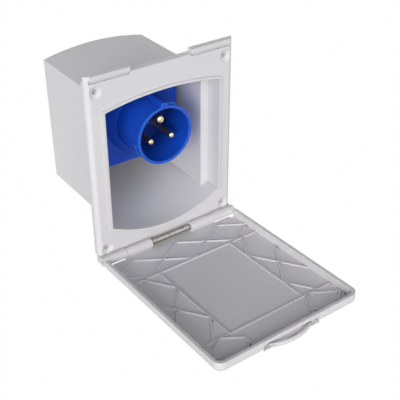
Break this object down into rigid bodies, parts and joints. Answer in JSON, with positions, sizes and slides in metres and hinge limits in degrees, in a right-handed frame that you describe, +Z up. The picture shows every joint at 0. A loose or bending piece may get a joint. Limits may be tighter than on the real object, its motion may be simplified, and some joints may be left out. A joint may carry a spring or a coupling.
{
  "type": "mains inlet socket",
  "caption": "Flush-mounted mains inlet: grey housing with a boxed recess, blue pin inlet with a keyed shroud, sprung flip-down lid and a rear cable gland.",
  "frame": {"origin": "centre of the four fixing screws, on the face that lies against the wall", "axes": "+X to the right seen from the front, +Y into the wall, +Z up; the open lid points along -Y"},
  "size_m": [0.132, 0.293, 0.1659],
  "materials": {
    "grey_plastic": "fine satin, moulded",
    "blue_plastic": "moulded, slightly glossy",
    "black_plastic": "matte, moulded",
    "pale_plastic": "satin, moulded",
    "brass": "turned",
    "zinc_steel": "zinc plated",
    "spring_steel": "drawn wire",
    "black_rubber": "matte"
  },
  "bodies": {
    "housing": {"housing": "grey_plastic", "hinge_pin": "spring_steel", "lid_spring": "spring_steel", "inlet_body": "blue_plastic", "contact_carrier": "black_plastic", "earth_pin": "brass", "line_pin": "brass", "neutral_pin": "brass", "earth_terminal_screw": "zinc_steel", "line_terminal_screw": "zinc_steel", "neutral_terminal_screw": "zinc_steel", "inlet_screw_1": "zinc_steel", "inlet_screw_2": "zinc_steel", "inlet_screw_3": "zinc_steel", "inlet_screw_4": "zinc_steel", "gland_washer": "black_rubber", "gland_body": "pale_plastic", "gland_locknut": "pale_plastic", "gland_seal": "black_rubber", "gland_cap": "pale_plastic"},
    "lid": {"lid": "grey_plastic"}
  },
  "joints": [
    {"name": "lid_hinge", "type": "hinge", "parent": "housing", "child": "lid", "pos_m": [0, -0.0108, -0.0767], "axis": [-1, 0, 0], "range_deg": [0, 87.7], "deforming": ["lid_spring"]}
  ]
}
